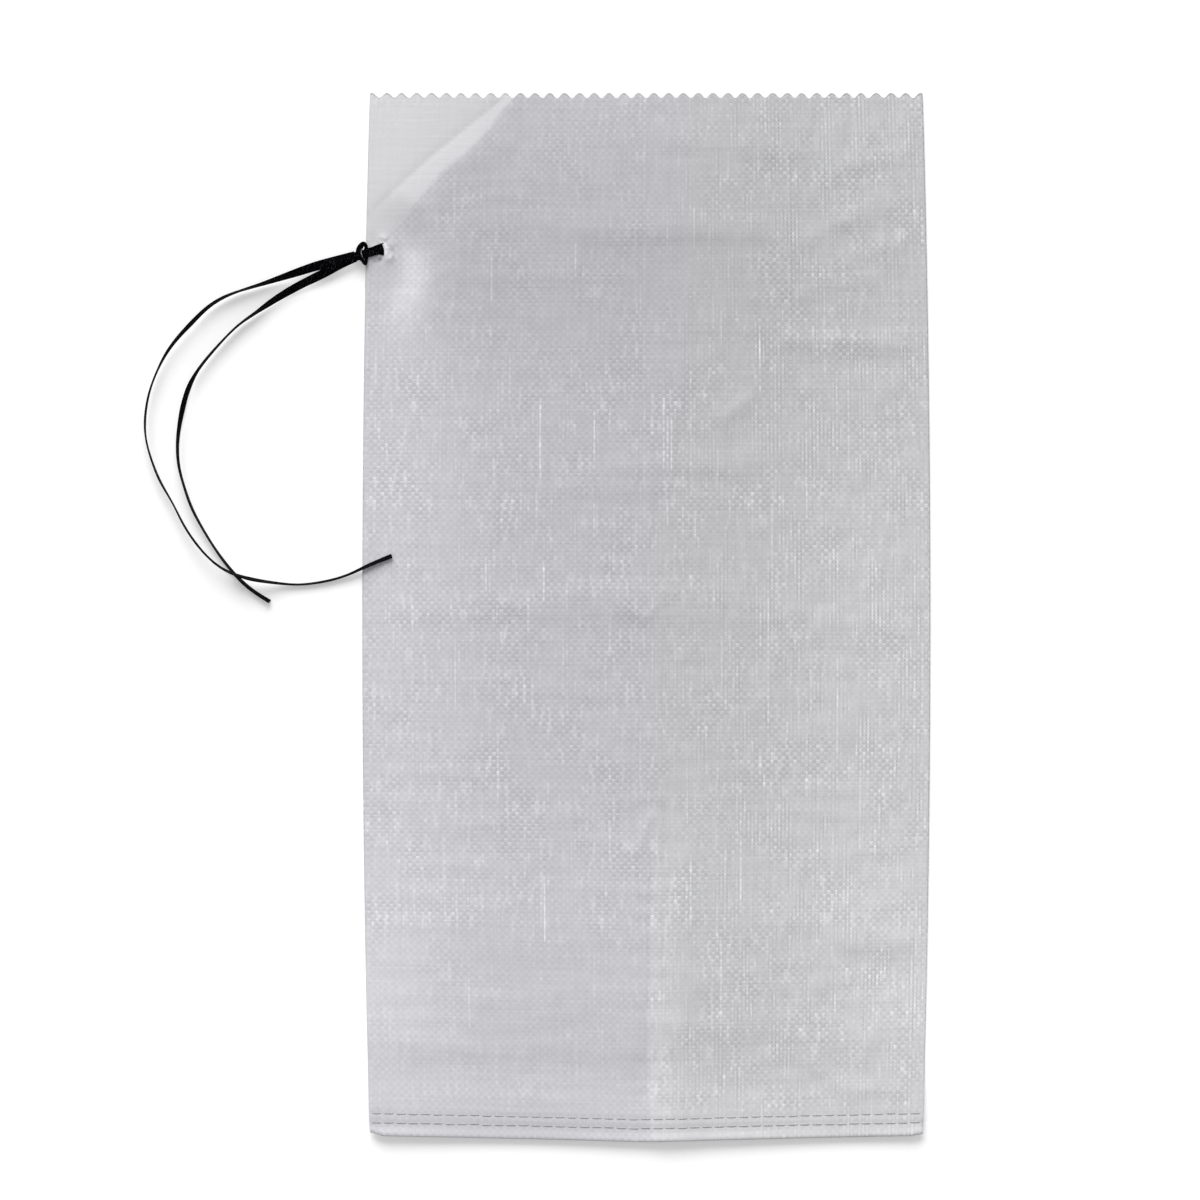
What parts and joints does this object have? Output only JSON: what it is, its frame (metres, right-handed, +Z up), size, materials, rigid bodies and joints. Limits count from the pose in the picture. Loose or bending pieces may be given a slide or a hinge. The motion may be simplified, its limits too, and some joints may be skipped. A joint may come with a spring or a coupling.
{
  "type": "empty woven sandbag with tie",
  "caption": "Empty flat sandbag of woven plastic tape: open pinked mouth, turned and stitched hem, and a flat tie knotted through its side fold.",
  "frame": {"origin": "middle of the flat bag's outline, on the floor that it lies on; the tie isn't counted", "axes": "+Y along the bag, from the hem to the open mouth; +Z up through the flat bag; +X to the right, away from the tie"},
  "size_m": [0.5006, 0.665, 0.0128],
  "materials": {
    "woven_cloth": "satin",
    "thread": "matte",
    "tape": "matte"
  },
  "bodies": {
    "root": {"bag": "woven_cloth", "upper_stitch_row": "thread", "lower_stitch_row": "thread", "tie_knot": "tape", "tie_tail_long": "tape", "tie_tail_short": "tape"}
  },
  "joints": []
}
